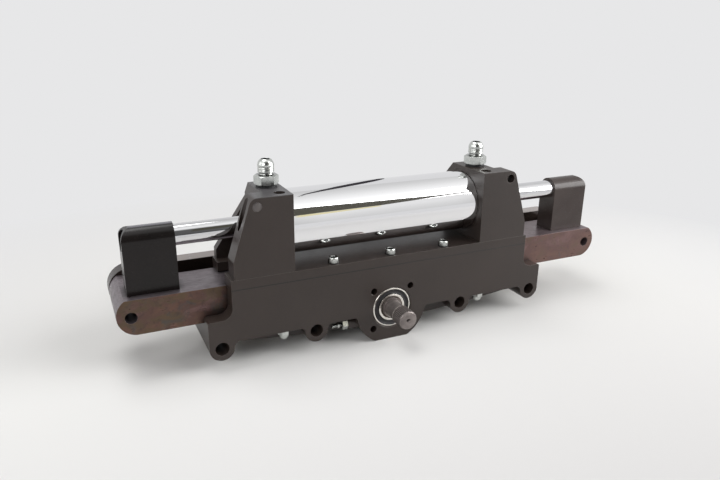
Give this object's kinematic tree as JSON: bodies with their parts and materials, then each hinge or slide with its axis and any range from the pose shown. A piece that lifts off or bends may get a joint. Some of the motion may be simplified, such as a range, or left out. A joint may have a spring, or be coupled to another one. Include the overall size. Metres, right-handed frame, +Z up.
{
  "type": "power steering rack",
  "caption": "Power steering rack: splined pinion in a lugged housing moves a flat rack bar whose end blocks ride on a chrome through-rod hydraulic ram above.",
  "frame": {"origin": "on the pinion axis at the front face of the housing, in the middle of the four tapped holes round the input shaft", "axes": "+X along the rack bar to the right seen from the input shaft side, +Y away from the input shaft through the housing, +Z up from the pinion towards the ram"},
  "size_m": [0.5244, 0.1285, 0.1848],
  "materials": {
    "black_anodised": "satin",
    "satin_black": "satin",
    "heat_tinted_steel": "satin",
    "chrome": "polished",
    "zinc_steel": "satin",
    "dark_steel": "satin",
    "shaft_steel": "satin",
    "bearing_steel": "polished",
    "piston_alloy": "satin",
    "bronze": "satin",
    "seal_rubber": "matte"
  },
  "bodies": {
    "body": {"housing": "black_anodised", "lid": "black_anodised", "tower_left": "black_anodised", "tower_right": "black_anodised", "ram_tube": "chrome", "tube_seals": "seal_rubber", "rod_bushes": "bronze", "rod_seals": "seal_rubber", "rod_wipers": "seal_rubber", "lid_front_screws": "zinc_steel", "lid_rear_screws": "zinc_steel", "tower_front_bolts": "dark_steel", "tower_bolt_washers": "zinc_steel", "tower_bolt_nuts": "zinc_steel", "tower_outer_screws": "dark_steel", "tower_rear_bolts": "dark_steel", "cheek_pin": "dark_steel", "fitting_left": "zinc_steel", "fitting_right": "zinc_steel", "fitting_seals": "seal_rubber", "front_bearing_outer": "bearing_steel", "front_bearing_seals": "seal_rubber", "rear_bearing_outer": "bearing_steel", "rear_bearing_seals": "seal_rubber", "rear_circlip": "dark_steel", "upper_guide_pads": "bronze", "lower_guide_pads": "bronze", "adjuster_screw": "zinc_steel", "adjuster_nut": "zinc_steel"},
    "rack": {"rack_bar": "heat_tinted_steel", "connector_left": "satin_black", "connector_right": "satin_black", "connector_bolts": "dark_steel", "connector_set_screws": "dark_steel", "piston_rod": "chrome", "piston": "piston_alloy", "piston_seals": "seal_rubber", "piston_clips": "dark_steel", "rear_strap": "satin_black", "end_spacers": "heat_tinted_steel", "strap_screws": "dark_steel"},
    "pinion": {"pinion_shaft": "shaft_steel", "front_bearing_inner": "bearing_steel", "front_bearing_balls": "bearing_steel", "rear_bearing_inner": "bearing_steel", "rear_bearing_balls": "bearing_steel", "pinion_clip": "dark_steel"}
  },
  "joints": [
    {"name": "rack_slide", "type": "slide", "parent": "body", "child": "rack", "axis": [1, 0, 0], "range_m": [-0.083, 0.067]},
    {"name": "pinion_spin", "type": "hinge", "parent": "body", "child": "pinion", "pos_m": [0, 0, 0], "axis": [0, 1, 0], "range_deg": [-341, 275.5]}
  ],
  "couplings": [
    {"joint": "pinion_spin", "follows": "rack_slide", "rad_per_m": 71.429}
  ]
}
